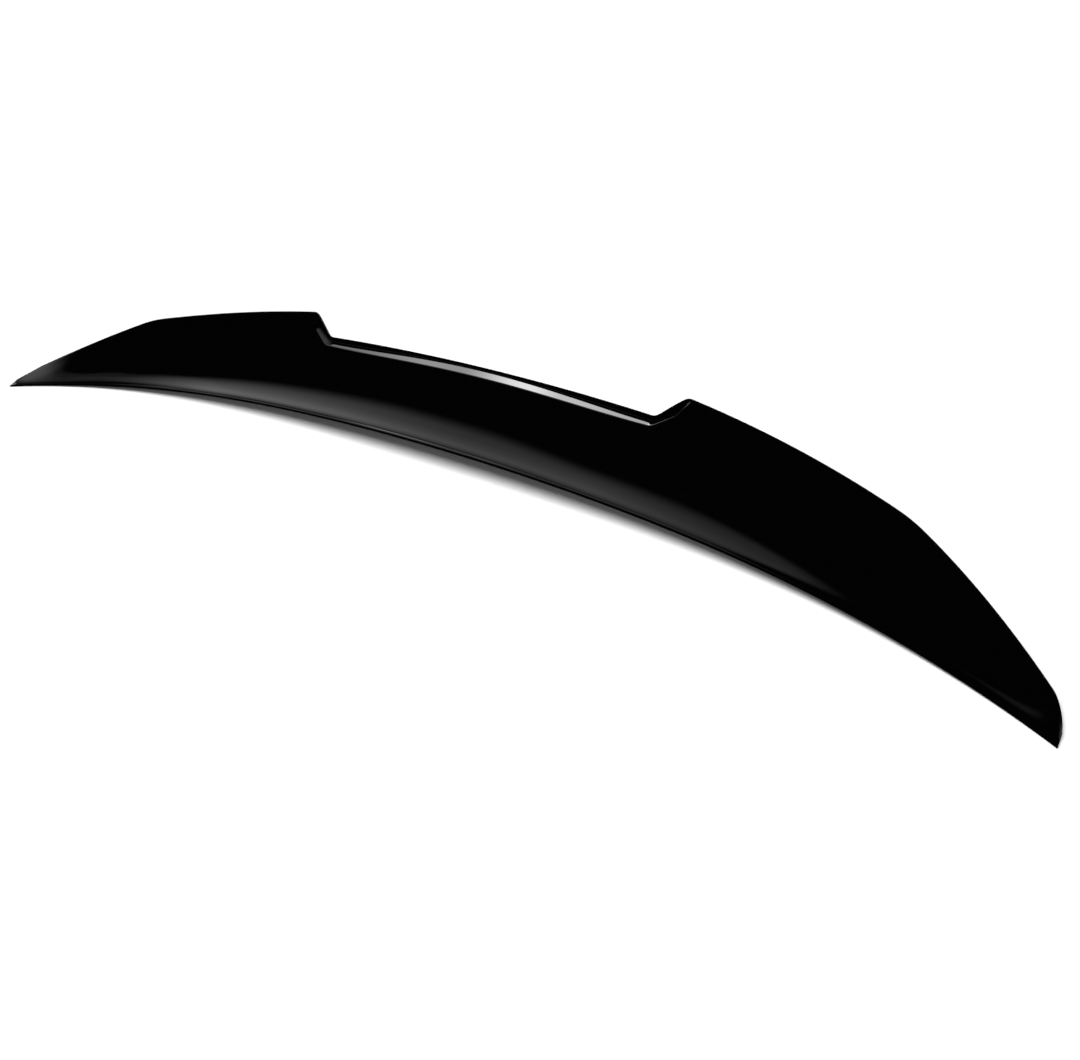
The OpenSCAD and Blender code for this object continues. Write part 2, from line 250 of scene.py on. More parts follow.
class Form:
    """The spoiler's section at each station x, worked out for all stations at once."""

    def __init__(self, sizes):
        self.s = sizes
        self.half = sizes.width / 2
        self.corner_x = self.half - sizes.corner_from_tip
        self.round_x = self.half - sizes.tip_round
        self.sweep = self.round_x - self.corner_x
        self.notch_top = sizes.notch_half + sizes.notch_flare
        self.lean = math.tan(sizes.rear_lean)

    def lead(self, x):
        """Leading edge: an even bow along Y and an even crown along Z."""
        u = np.abs(x) / self.half
        return pair(self.s.bow * (1 - ease(u, BOW_SHARE)), self.s.crown * (1 - ease(u, CROWN_SHARE)))

    def tipped(self, size, end, x):
        """A size shrunk to its end value inside the rounded end of the tip, along a superellipse."""
        t = np.clip((np.abs(x) - self.round_x) / self.s.tip_round, 0, 1)
        return mix(end, size, (1 - t ** TIP_POWER) ** (1 / TIP_POWER))

    def wing(self, x):
        """Depth and rise of the wing: even curves to the corner, then a sweep with a slight bulge."""
        s = self.s
        q, out = np.abs(x) / self.corner_x, (np.abs(x) - self.corner_x) / self.sweep
        arch = 4 * out * (1 - out)
        chord_in = s.mid_chord - (s.mid_chord - s.corner_chord) * ease(q, CHORD_SHARE)
        chord_out = mix(s.corner_chord, s.tip_chord, out) + SWEEP_CHORD_BULGE * arch
        rise_in = s.mid_rise - (s.mid_rise - s.corner_rise) * ease(q, RISE_SHARE)
        rise_out = mix(s.corner_rise, s.tip_rise, out) + SWEEP_RISE_BULGE * arch
        chord = mix(chord_in, chord_out, smooth((np.abs(x) - self.corner_x) / CORNER_BLEND + 0.5))
        rise = soft_min(rise_in, rise_out, s.corner_soft)
        return pair(self.tipped(chord, TIP_END[0], x), self.tipped(rise, TIP_END[1], x))

    def notch_mix(self, x, start, end):
        """0 on the notch floor, 1 on the wings, rounded at the foot and head of the notch wall."""
        t = (np.abs(x) - start) / (end - start)
        return soft_min(1.0, soft_max(0.0, t, NOTCH_SOFT), NOTCH_SOFT)

    def edge(self, x, lead, wing):
        """Trailing edge: the notch floor's size blended into the wing's size."""
        s = self.s
        q2 = (np.abs(x) / s.notch_half) ** 2
        m = self.notch_mix(x, s.notch_half, self.notch_top)[:, None]
        floor = pair(mix(s.notch_chord, s.notch_end_chord, q2), mix(s.notch_rise, s.notch_end_rise, q2))
        return lead + mix(floor, wing, m)

    def rear_inside(self, r, z, wall):
        """Place along Y of the inside of the rear face, for a height."""
        t = np.clip(z / r[2][:, 1][:, None], 0, 1)
        return bend(r, t)[..., 0] - wall[:, None] / math.cos(self.s.rear_lean)

    def fill(self, x):
        """How far the hollow is filled near the tips: 0 is open, 1 is solid."""
        return np.clip((np.abs(x) - self.half + self.s.tip_solid) / FILL_LENGTH + 1, 0, 1)

    def rib(self, x):
        """0 away from the ribs, 1 inside one, with draft on both sides."""
        s = self.s
        i = np.clip(np.round(np.abs(x) / s.rib_pitch + 0.5), 1, s.rib_count)
        off = np.abs(np.abs(x) - (i - 0.5) * s.rib_pitch)
        return np.clip(1 - (off - s.rib_wall / 2) / RIB_DRAFT, 0, 1)

    def hollow(self, c, r, wall, base, top, fall):
        """Inside of the hollow: from the flange up the rear face, along a falling roof and down the ramp."""
        q = bend_beside(c, top, wall)[:, 0]
        low, high = wall + INSIDE_GAP, q[:, 1] - INSIDE_GAP - fall
        z = mix(low[:, None], high[:, None], np.linspace(0, 1, DEPTH_STEPS["back"])[None])
        rear = np.stack([self.rear_inside(r, z, wall), z], axis=-1)
        ridge = pair(mix(self.rear_inside(r, high[:, None], wall)[:, 0], q[:, 0], 0.5),
                     q[:, 1] - RIDGE_GAP - fall / 2)
        under = bend_beside(c, mix(top, ROOF_END, np.linspace(0, 1, DEPTH_STEPS["inside"])[None]), wall)
        return np.concatenate([(base + pair(0, wall))[:, None], rear, ridge[:, None], under], axis=1)

    def sections(self, x):
        """Closed outline at every station, and which of its places lie on the raw underside.

        Round the outline: land under the nose, rounded nose, ramp, crease, shelf and lip (on the wings a
        narrow strip), rounded rim, hollow rear face, foot, flange with its channel, inside of the hollow.
        """
        s = self.s
        # Ramp
        lead, wing = self.lead(x), self.wing(x)
        wall = np.minimum(s.wall, WALL_SHARE * wing[:, 1])
        start, end = lead + pair(NOSE_DEPTH, wall), lead + wing
        dip = RAMP_DIP * (end[:, 1] - start[:, 1]) * smooth(lead[:, 1] / DIP_FADE)
        c = [start, pair(mix(start[:, 0], end[:, 0], s.ramp_turn), start[:, 1] - dip), end]
        # Shelf and lip in the notch, narrow strip on the wings
        edge = self.edge(x, lead, wing)
        in_notch = 1 - self.notch_mix(x, self.notch_top - s.shelf_fade / 2, self.notch_top + s.shelf_fade / 2)
        q = np.minimum(np.abs(x) / s.notch_half, 1)
        ledge, rise = mix(s.shelf, s.shelf_end, q ** 4), mix(s.lip, s.lip_end, q ** 2) - LIP_FOOT
        full = 1 - EDGE_STRIP / (wing[:, 0] + STRIP_FADE)
        reach = (edge[:, 0] - ledge)[:, None]
        crease = halve(lambda t: bend(c, t)[..., 0] < reach, np.full((len(x), 1), CREASE_FROM), full[:, None])
        k = mix(full, crease[:, 0], in_notch)[:, None]
        corner = bend(c, k)[:, 0]
        edge = edge - RIM_INSET
        strip = mix(edge, corner, np.array(EDGE_TURN))
        low = soft_min(edge[:, 1] - rise, corner[:, 1] - LEDGE_FALL * ledge, LEDGE_SOFT)
        root = pair(edge[:, 0] - LIP_DEPTH * rise - self.lean * (edge[:, 1] - rise - low), low)
        turn = mix(strip, root, in_notch[:, None])
        fall = np.maximum(corner[:, 1] - turn[:, 1], 0)
        # Rear face, foot and flange
        rim = np.minimum(s.rim, RIM_SHARE * wall)
        foot = pair(end[:, 0] - self.lean * end[:, 1] * smooth(wing[:, 1] / LEAN_FADE), 0.0)
        top = edge + rim[:, None] * np.array([RIM_REACH, -RIM_REACH])
        d = top - foot
        length = np.linalg.norm(d, axis=1)
        sag = (s.rear_hollow * smooth(length / HOLLOW_FADE - HOLLOW_START) / length)[:, None]
        r = [foot, (foot + top) / 2 + sag * np.stack([-d[:, 1], d[:, 0]], axis=1), top]
        depth = foot[:, 0] - lead[:, 0]
        w = np.minimum(s.flange, FLANGE_SHARE * depth)
        base = foot - pair(w, 0)
        inset = np.minimum(NOSE_LAND, LAND_SHARE * depth)

        # Places along each stretch
        nose = self.nose(lead, wall, inset)
        step = CREASE_ROUND * np.clip(k[:, 0] * wing[:, 0] / CREASE_FADE, CREASE_LEAST, 1)
        speed = np.linalg.norm((c[1] - c[0]) * (1 - k) + (c[2] - c[1]) * k, axis=1) * 2
        before = k - np.minimum(step / speed, CREASE_ON_STRIP * (1 - full))[:, None]
        ramp = bend(c, before * np.linspace(0, 1, DEPTH_STEPS["ramp"])[None])
        after = step / np.maximum(np.linalg.norm(turn - corner, axis=1), TINY) / (2 * LIP_WEIGHT)
        after = np.clip(after, *CREASE_ON_SHELF)[:, None]
        shelf = tight_bend([corner, turn, edge], mix(after, 1.0, gathered(DEPTH_STEPS["shelf"])), LIP_WEIGHT)
        rounding = np.linspace(0, 1, DEPTH_STEPS["round"])[None]
        crease_line = bend([ramp[:, -1], corner, shelf[:, 0]], rounding[:, 1:-1])
        rim_line = self.rim(shelf, r, rim)
        rear = bend(r, np.linspace(1, HEEL_RISE, DEPTH_STEPS["rear"])[None])
        heel = bend([rear[:, -1], foot, foot - pair(HEEL_RUN * inset, 0)], rounding[:, 1:])
        flange = self.flange(foot[:, 0], w, s.channel_depth * (1 - self.fill(x)))
        inside = self.inside(x, lead + pair(inset, 0), c, r, wall, base, k, fall)
        parts = [nose, ramp[:, 1:], crease_line, shelf, rim_line, rear, heel, flange, inside]
        raw = np.repeat([0, 0, 0, 0, 0, 0, 0, 1, 1], [p.shape[1] for p in parts])
        raw[0] = 1
        return np.concatenate(parts, axis=1), raw

    def nose(self, lead, wall, inset):
        """Land, small round at the bottom, upright face and a larger round into the ramp."""
        low, high = NOSE_ROUND * wall / self.s.wall, wall / 3
        a = np.linspace(0, math.pi / 2, DEPTH_STEPS["round"])[None]
        b = np.linspace(0, math.pi / 2, DEPTH_STEPS["nose"])[None]
        under = np.stack([low[:, None] * (1 - np.sin(a)), low[:, None] * (1 - np.cos(a))], axis=-1)
        over = pair(NOSE_DEPTH * (1 - np.cos(b)), wall[:, None] - high[:, None] * (1 - np.sin(b)))
        path = np.concatenate([pair(inset, 0)[:, None], under, over], axis=1)
        return lead[:, None] + path

    def rim(self, shelf, r, rim):
        """Round over the trailing edge: a cubic from the lip's heading to the rear face's."""
        p0, p3 = shelf[:, -1], r[2]
        come = shelf[:, -1] - shelf[:, -2]
        leave = r[1] - r[2]
        come = come / np.linalg.norm(come, axis=1, keepdims=True)
        leave = leave / np.linalg.norm(leave, axis=1, keepdims=True)
        h = (RIM_HANDLE * rim)[:, None]
        p1, p2 = p0 + h * come, p3 - h * leave
        t = np.linspace(0, 1, DEPTH_STEPS["rim"] + 2)[None, 1:-1, None]
        return (p0[:, None] * (1 - t) ** 3 + p1[:, None] * 3 * t * (1 - t) ** 2
                + p2[:, None] * 3 * t ** 2 * (1 - t) + p3[:, None] * t ** 3)

    def flange(self, y, w, depth):
        """Underside of the flange with its shallow bonding channel."""
        g = self.s.channel * w / self.s.flange
        a, d = (w - g) / 2, np.minimum(CHANNEL_SLOPE, g / 8)
        return np.stack([pair(y - a, 0), pair(y - a - d, depth), pair(y - a - g + d, depth),
                         pair(y - a - g, 0), pair(y - w, 0)], axis=1)

    def inside(self, x, finish, c, r, wall, base, k, fall):
        """The hollow, cut short inside a rib and closed to a solid near the tips."""
        low = np.full_like(k, INSIDE_FROM)

        def before_rear(t):
            p = bend_beside(c, t, wall)
            return p[..., 0] < self.rear_inside(r, p[..., 1], wall) - MEETING_GAP

        top = np.minimum(k - ROOF_BACK, halve(before_rear, low, k))
        level = np.maximum(bend_beside(c, top, wall)[:, 0, 1] - self.s.rib_depth, RIB_LEAST)[:, None]
        cut = halve(lambda t: bend_beside(c, t, wall)[..., 1] < level, low, top)
        opened = self.hollow(c, r, wall, base, top, fall)
        closed = self.hollow(c, r, wall, base, cut, 0.0)
        n = opened.shape[1]
        share = (np.arange(1, n + 1) / (n + 1))[None, :, None]
        flat = mix(base[:, None], finish[:, None], share)
        b, f = self.rib(x)[:, None, None], self.fill(x)[:, None, None]
        return mix(mix(opened, closed, b), flat, f)

    def stations(self, spacing):
        """Places across the width, closer at the notch walls, the corners, the ribs and the tips."""
        s = self.s
        near, far = s.notch_half - NOTCH_REACH[0], self.notch_top + s.shelf_fade / 2 + NOTCH_REACH[1]
        inner, outer = self.corner_x - CORNER_REACH, self.corner_x + CORNER_REACH
        spans = [(0.0, near, 1.0), (near, far, NOTCH_SPACING), (far, inner, 1.0),
                 (inner, outer, CORNER_SPACING), (outer, self.round_x, 1.0)]
        runs = [np.linspace(a, b, max(int(round((b - a) / (spacing * share))), 2), endpoint=False)
                for a, b, share in spans]
        ends = self.round_x + (s.tip_round - TIP_CAP) * np.sin(np.linspace(0, math.pi / 2, TIP_STATIONS))
        i = np.arange(1, s.rib_count + 1)
        sides = np.array([-1, 1])[:, None, None] * (s.rib_wall / 2 + np.array([0, RIB_DRAFT])[None, :, None])
        ribs = ((i - 0.5) * s.rib_pitch + sides).ravel()
        plain = np.concatenate(runs + [ends])
        plain = plain[np.abs(plain[:, None] - ribs[None]).min(axis=1) > STATION_GAP]
        right = np.sort(np.concatenate([plain, ribs]))
        right = right[right > 0]
        return np.concatenate([-right[::-1], [0.0], right])


def shell_arrays(sizes):
    """Corner places, quads, end triangles and the underside mask of the whole shell.

    The outlines are carried along X. Each tip is closed by one smaller outline at full width, for a small
    round, and a fan to its middle.
    """
    form = Form(sizes)
    x = form.stations(sizes.spacing)
    outline, raw = form.sections(x)
    shift = np.array([(outline[..., 0].min() + outline[..., 0].max()) / 2, 0.0])
    outline = outline - shift
    n, ring = outline.shape[:2]
    middles = outline[[0, -1]].mean(axis=1, keepdims=True)
    caps = mix(outline[[0, -1]], middles, CAP_SHARE)
    caps[..., 1] = np.maximum(caps[..., 1], 0.0)
    rows = np.concatenate([caps[:1], outline, caps[1:]], axis=0)
    across = np.concatenate([[-form.half], x, [form.half]])
    rows = np.concatenate([np.broadcast_to(across[:, None, None], rows.shape[:2] + (1,)), rows], axis=2)
    tips = np.array([[-form.half, *middles[0, 0]], [form.half, *middles[1, 0]]])
    places = np.concatenate([rows.reshape(-1, 3), tips])
    i, j = np.meshgrid(np.arange(n + 1), np.arange(ring), indexing="ij")
    a, b = (i * ring + j).ravel(), (i * ring + (j + 1) % ring).ravel()
    quads = np.stack([a, a + ring, b + ring, b], axis=1)
    j = np.arange(ring)
    left, right = (n + 2) * ring, (n + 2) * ring + 1
    last = (n + 1) * ring
    fans = np.concatenate([np.stack([np.full(ring, left), j, (j + 1) % ring], axis=1),
                           np.stack([np.full(ring, right), last + (j + 1) % ring, last + j], axis=1)])
    mask = np.concatenate([np.tile(raw, n + 2), [0, 0]]).astype(np.float32)
    return places, quads, fans, mask


def closed_volume(places, faces):
    """Signed volume inside a mesh: the sum over its triangles of the corner product, over six."""
    tris = np.concatenate([faces[0][:, [0, 1, 2]], faces[0][:, [0, 2, 3]], faces[1]])
    p, q, r = (places[tris[:, i]] for i in range(3))
    return float(np.einsum("ij,ij->i", p, np.cross(q, r)).sum() / 6)


def mesh_object(name, places, quads, tris):
    """A linked object at the origin whose mesh holds the given faces, shaded smooth."""
    mesh = bpy.data.meshes.new(name)
    loops = np.concatenate([quads.ravel(), tris.ravel()]).astype(np.int32)
    counts = np.concatenate([np.full(len(quads), 4), np.full(len(tris), 3)]).astype(np.int32)
    starts = np.concatenate([[0], np.cumsum(counts)[:-1]]).astype(np.int32)
    mesh.vertices.add(len(places))
    mesh.vertices.foreach_set("co", places.astype(np.float32).ravel())
    mesh.loops.add(len(loops))
    mesh.loops.foreach_set("vertex_index", loops)
    mesh.polygons.add(len(counts))
    mesh.polygons.foreach_set("loop_start", starts)
    mesh.polygons.foreach_set("use_smooth", np.ones(len(counts), bool))
    mesh.update(calc_edges=True)
    mesh.validate()
    ob = bpy.data.objects.new(name, mesh)
    bpy.context.scene.collection.objects.link(ob)
    return ob


def feed(tree, node, inputs):
    """Gives a node its inputs, by name or number: a socket is linked, a plain value is written."""
    for name, value in inputs.items():
        if isinstance(value, bpy.types.NodeSocket):
            tree.links.new(value, node.inputs[name])
        else:
            node.inputs[name].default_value = value


def add_node(tree, kind, inputs, **settings):
    """A shader node of a kind, with its settings and inputs."""
    node = tree.nodes.new("ShaderNode" + kind)
    for name, value in settings.items():
        setattr(node, name, value)
    feed(tree, node, inputs)
    return node


def new_material(name):
    """A material and its node tree."""
    material = bpy.data.materials.new(name)
    material.use_nodes = True
    return material, material.node_tree


def new_group(name, inputs, outputs):
    """An empty shader node group with float, colour or vector sockets given as (name, kind, default)."""
    group = bpy.data.node_groups.new(name, "ShaderNodeTree")
    for label, kind, value in inputs:
        item = group.interface.new_socket(name=label, in_out="INPUT", socket_type="NodeSocket" + kind)
        item.default_value = value
    for label, kind in outputs:
        group.interface.new_socket(name=label, in_out="OUTPUT", socket_type="NodeSocket" + kind)
    return group, group.nodes.new("NodeGroupInput"), group.nodes.new("NodeGroupOutput")


def math_node(tree, operation, a, b=None):
    """A Math node whose inputs are sockets or numbers. Returns its output."""
    inputs = {0: a} if b is None else {0: a, 1: b}
    return add_node(tree, "Math", inputs, operation=operation).outputs[0]


def total(tree, *values):
    """Sum of sockets and numbers."""
    result = values[0]
    for value in values[1:]:
        result = math_node(tree, "ADD", result, value)
    return result


def product(tree, *values):
    """Product of sockets and numbers."""
    result = values[0]
    for value in values[1:]:
        result = math_node(tree, "MULTIPLY", result, value)
    return result


def noise(tree, vector, scale, detail):
    """A noise texture's value."""
    return add_node(tree, "TexNoise", {"Vector": vector, "Scale": scale, "Detail": detail}).outputs["Fac"]


def map_range(tree, value, low, high, to_low, to_high, kind="SMOOTHSTEP"):
    """A Map Range node from low..high to to_low..to_high. Returns its output."""
    limits = {"From Min": low, "From Max": high, "To Min": to_low, "To Max": to_high}
    return add_node(tree, "MapRange", {"Value": value, **limits}, interpolation_type=kind).outputs["Result"]


def window(tree, value, low, high, soft_low, soft_high):
    """1 between two limits of a value, 0 outside, with a soft edge of its own width at each limit."""
    rise = map_range(tree, value, low - soft_low / 2, low + soft_low / 2, 0.0, 1.0)
    fall = map_range(tree, value, high - soft_high / 2, high + soft_high / 2, 1.0, 0.0)
    return math_node(tree, "MULTIPLY", rise, fall)


def mix_node(tree, factor, a, b, kind="FLOAT"):
    """A Mix node from a to b by a factor. Returns its output."""
    return add_node(tree, "Mix", {"Factor": factor, "A": a, "B": b}, data_type=kind).outputs["Result"]


def object_place(tree):
    """Place in the object's own coordinates."""
    return add_node(tree, "TexCoord", {}).outputs["Object"]


def lacquer_ripple_group():
    """Height of the faint ripple that sprayed lacquer keeps: two noises of different size, added."""
    group, inn, out = new_group(
        "lacquer_ripple",
        [("Vector", "Vector", (0, 0, 0)), ("Fine Scale", "Float", 420.0), ("Broad Scale", "Float", 90.0),
         ("Fine Share", "Float", 0.35)],
        [("Height", "Float")])
    fine = noise(group, inn.outputs["Vector"], inn.outputs["Fine Scale"], 1.0)
    broad = noise(group, inn.outputs["Vector"], inn.outputs["Broad Scale"], 0.0)
    part = math_node(group, "MULTIPLY", fine, inn.outputs["Fine Share"])
    feed(group, out, {"Height": math_node(group, "ADD", part, broad)})
    return group


def fine_haze_group():
    """Roughness that wanders slightly over the surface, as polished lacquer has."""
    group, inn, out = new_group(
        "fine_haze",
        [("Vector", "Vector", (0, 0, 0)), ("Scale", "Float", 14.0), ("Low", "Float", 0.03),
         ("High", "Float", 0.06)],
        [("Roughness", "Float")])
    value = noise(group, inn.outputs["Vector"], inn.outputs["Scale"], 3.0)
    span = math_node(group, "SUBTRACT", inn.outputs["High"], inn.outputs["Low"])
    above = math_node(group, "MULTIPLY", value, span)
    feed(group, out, {"Roughness": math_node(group, "ADD", above, inn.outputs["Low"])})
    return group


def mould_grain_group():
    """Height and tone of raw moulded plastic: a fine grain, with faint flow along the length."""
    group, inn, out = new_group(
        "mould_grain",
        [("Vector", "Vector", (0, 0, 0)), ("Grain Scale", "Float", 1500.0), ("Tone", "Float", 0.25)],
        [("Height", "Float"), ("Tone", "Float")])
    grain = noise(group, inn.outputs["Vector"], inn.outputs["Grain Scale"], 2.0)
    stretch = add_node(group, "Mapping", {"Vector": inn.outputs["Vector"], "Scale": FLOW_STRETCH})
    flow = noise(group, stretch.outputs["Vector"], 1.0, 2.0)
    tone = math_node(group, "MULTIPLY", math_node(group, "SUBTRACT", flow, 0.5), inn.outputs["Tone"])
    feed(group, out, {"Height": grain, "Tone": math_node(group, "ADD", tone, 1.0)})
    return group


def add_group(tree, group, vector, **values):
    """Places a node group in a material and sets its inputs by name."""
    return add_node(tree, "Group", {"Vector": vector, **values}, node_tree=group)


def gloss_black_material(finish):
    """Black lacquer over moulded plastic on the outside, the raw plastic where the underside mask is 1."""
    material, tree = new_material("gloss_black_lacquer")
    place = object_place(tree)
    raw = add_node(tree, "Attribute", {}, attribute_name="underside").outputs["Fac"]
    smoothest = finish.gloss_roughness
    ripple = add_group(tree, lacquer_ripple_group(), place)
    haze = add_group(tree, fine_haze_group(), place, Low=smoothest, High=smoothest * HAZE_RANGE)
    grain = add_group(tree, mould_grain_group(), place)

    toned = add_node(tree, "VectorMath", {0: finish.raw_plastic, "Scale": grain.outputs["Tone"]},
                     operation="SCALE")
    colour = mix_node(tree, raw, (*finish.lacquer, 1), toned.outputs["Vector"], "RGBA")
    rough = mix_node(tree, raw, haze.outputs["Roughness"], finish.raw_roughness)
    height = mix_node(tree, raw, ripple.outputs["Height"], grain.outputs["Height"])
    skin = add_node(tree, "Bump", {"Strength": finish.ripple, "Distance": BUMP_DISTANCE, "Height": height})
    feed(tree, tree.nodes["Principled BSDF"],
         {"Base Color": colour, "Roughness": rough, "Normal": skin.outputs["Normal"], "IOR": LACQUER_IOR})
    return material


def seen_by_gloss_only(ob):
    """Shows an object in reflections and nowhere else, as a studio panel outside the picture."""
    for name in ("visible_camera", "visible_diffuse", "visible_shadow", "visible_transmission",
                 "visible_volume_scatter"):
        setattr(ob, name, False)


def globe(radius, rows, columns):
    """Places, quads and pole triangles of a sphere that faces inwards, on rings of equal latitude."""
    lat = np.linspace(-math.pi / 2, math.pi / 2, rows + 1)[1:-1]
    lon = np.linspace(0, 2 * math.pi, columns, endpoint=False)
    la, lo = np.meshgrid(lat, lon, indexing="ij")
    body = np.stack([np.cos(la) * np.cos(lo), np.cos(la) * np.sin(lo), np.sin(la)], axis=-1).reshape(-1, 3)
    poles = np.array([[0, 0, -1.0], [0, 0, 1.0]])
    i, j = np.meshgrid(np.arange(rows - 2), np.arange(columns), indexing="ij")
    a, b = (i * columns + j).ravel(), (i * columns + (j + 1) % columns).ravel()
    quads = np.stack([a, a + columns, b + columns, b], axis=1)
    j = np.arange(columns)
    k = (j + 1) % columns
    top = (rows - 2) * columns
    south, north = len(body), len(body) + 1
    tris = np.concatenate([np.stack([np.full(columns, south), j, k], axis=1),
                           np.stack([np.full(columns, north), top + k, top + j], axis=1)])
    return np.concatenate([body, poles]) * radius, quads, tris


def rear_panel(tree, x, angle):
    """Low panel behind the part: a bright strip with one hot stretch, over a dim sill.

    The strip lies up to 4 degrees lower at its far end.
    """
    base = map_range(tree, x, -0.74, -0.60, 1.0, 2.6)
    hot = map_range(tree, x, -0.56, -0.43, 0.0, 6.0)
    cool = total(tree, map_range(tree, x, -0.425, -0.37, 0.0, -2.6),
                 map_range(tree, x, -0.35, -0.26, 0.0, -1.3))
    tilted = math_node(tree, "ADD", angle, map_range(tree, x, -0.76, -0.66, 4.0, 0.0))
    strip = product(tree, window(tree, tilted, 14.0, 37.0, 14.0, 2.4), total(tree, base, hot, cool))
    sill = product(tree, window(tree, angle, -24.0, 13.0, 12.0, 14.0),
                   window(tree, x, -0.72, -0.3, 0.1, 0.1), 0.45)
    return total(tree, strip, sill)


def over_panel(tree, x, angle):
    """Broad soft panel overhead: it comes in from the rear, fades, and stops near the zenith.

    Its rear and front limits lie a few degrees higher or lower along X, and its two ends are curved.
    """
    lift = total(tree, map_range(tree, x, -0.8, -0.55, 0.3, 3.2),
                 map_range(tree, x, -0.42, -0.3, 0.0, -1.6))
    rise = map_range(tree, math_node(tree, "SUBTRACT", angle, lift), 31.0, 54.0, 0.0, 1.0)
    fade = map_range(tree, angle, 58.0, 76.0, 1.0, 0.6, "LINEAR")
    aside = math_node(tree, "ABSOLUTE", math_node(tree, "ADD", x, 0.57))
    sink = map_range(tree, aside, 0.05, 0.28, -1.0, 4.0)
    stop = map_range(tree, math_node(tree, "ADD", angle, sink), 77.0, 92.0, 1.0, 0.0)
    along = total(tree, map_range(tree, x, -0.30, 0.0, 0.88, 0.42, "LINEAR"),
                  map_range(tree, x, -0.80, -0.50, 0.34, 0.0))
    off = math_node(tree, "SUBTRACT", angle, 60.5)
    bowed = math_node(tree, "ADD", x, product(tree, off, off, 0.00035))
    inward = math_node(tree, "SUBTRACT", x, map_range(tree, angle, 60.0, 78.0, 0.0, 0.015))
    ends = product(tree, map_range(tree, inward, -0.903, -0.843, 0.0, 1.0),
                   map_range(tree, bowed, 0.02, 0.12, 1.0, 0.0))
    return product(tree, rise, fade, stop, along, ends)


def tip_panels(tree, x, angle):
    """Small panels past the two tips, the far one with a slanted edge."""
    slant = product(tree, math_node(tree, "SUBTRACT", angle, 74.0), 0.0024)
    outward = math_node(tree, "SUBTRACT", x, slant)
    far = total(tree, map_range(tree, outward, -0.925, -0.894, 0.6, 0.0),
                map_range(tree, x, -0.842, -0.826, 0.12, 0.0))
    left = product(tree, window(tree, angle, 62.0, 100.0, 24.0, 22.0), far)
    right = product(tree, window(tree, angle, 65.0, 73.0, 6.0, 6.0),
                    window(tree, x, 0.22, 0.3, 0.06, 0.06), 0.12)
    return total(tree, left, right)


def tent_glow(tree, stage):
    """Brightness of the tent: strips along X, and the floor's white below.

    Panels are placed by the angle round the X axis in degrees (0 is behind, 90 overhead) and by the share of
    the tent's radius along X.
    """
    split = add_node(tree, "SeparateXYZ", {"Vector": object_place(tree)}).outputs
    x = math_node(tree, "DIVIDE", split["X"], stage.tent_radius)
    angle = product(tree, math_node(tree, "ARCTAN2", split["Z"], split["Y"]), 180 / math.pi)
    return total(tree,
                 product(tree, rear_panel(tree, x, angle), stage.rear_level),
                 product(tree, over_panel(tree, x, angle), stage.over_level),
                 tip_panels(tree, x, angle),
                 product(tree, window(tree, angle, -105.0, -45.0, 20.0, 20.0), stage.under_level))


def tent_material(stage):
    """A plain glow, as strong as tent_glow makes it."""
    material, tree = new_material("tent_panels")
    tree.nodes.clear()
    glow = add_node(tree, "Emission", {"Strength": tent_glow(tree, stage)})
    add_node(tree, "OutputMaterial", {"Surface": glow.outputs["Emission"]})
    return material


def white_when_seen(tree):
    """1 for the camera, glossy and transmission rays that see the white, 0 for the rest."""
    rays = add_node(tree, "LightPath", {}).outputs
    seen = total(tree, rays["Is Camera Ray"], rays["Is Glossy Ray"], rays["Is Transmission Ray"])
    return math_node(tree, "MINIMUM", seen, 1.0)


def backdrop_world(stage):
    """A world that is white where it is seen and gives a plain soft fill everywhere else."""
    world = bpy.data.worlds.new("studio_white")
    bpy.context.scene.world = world
    world.use_nodes = True
    tree = world.node_tree
    strength = mix_node(tree, white_when_seen(tree), stage.fill_level, 1.0)
    feed(tree, tree.nodes["Background"], {"Color": WHITE, "Strength": strength})


def floor_material(stage):
    """Pale matt floor, lit near the part. Further out a glow for the rays that see it takes over."""
    material, tree = new_material("pale_floor")
    near = add_node(tree, "VectorMath", {0: object_place(tree), 1: FLOOR_STRETCH}, operation="MULTIPLY")
    away = add_node(tree, "VectorMath", {0: near.outputs["Vector"]}, operation="LENGTH")
    glow = map_range(tree, away.outputs["Value"], *FLOOR_FADE, stage.floor_glow, 1.0)
    feed(tree, tree.nodes["Principled BSDF"], {
        "Base Color": FLOOR_COLOUR, "Roughness": 1.0, "Specular IOR Level": 0.0, "Emission Color": WHITE,
        "Emission Strength": math_node(tree, "MULTIPLY", white_when_seen(tree), glow)})
    return material


def area_lamp(name, place, target, size, radiance):
    """A square lamp, sized in metres, whose surface has the given radiance. Reflections leave it out."""
    data = bpy.data.lights.new(name, "AREA")
    data.shape = "SQUARE"
    data.size = size
    data.energy = radiance * math.pi * size ** 2
    ob = bpy.data.objects.new(name, data)
    bpy.context.scene.collection.objects.link(ob)
    way = Vector(target) - Vector(place)
    ob.matrix_world = Matrix.Translation(place) @ way.to_track_quat("-Z", "Y").to_matrix().to_4x4()
    ob.visible_glossy = False


def metres(name, description, default, **more):
    """A property in metres."""
    return FloatProperty(name=name, description=description, default=default, unit="LENGTH", **more)


def fraction(name, description, default):
    """A property from 0 to 1."""
    return FloatProperty(name=name, description=description, default=default, subtype="FACTOR", min=0, max=1)


def level(name, description, default):
    """A brightness, 0 or more."""
    return FloatProperty(name=name, description=description, default=default, min=0)


def tint(name, description, default):
    """A colour property."""
    return FloatVectorProperty(name=name, description=description, default=default, subtype="COLOR", size=3,
                               min=0, max=1)


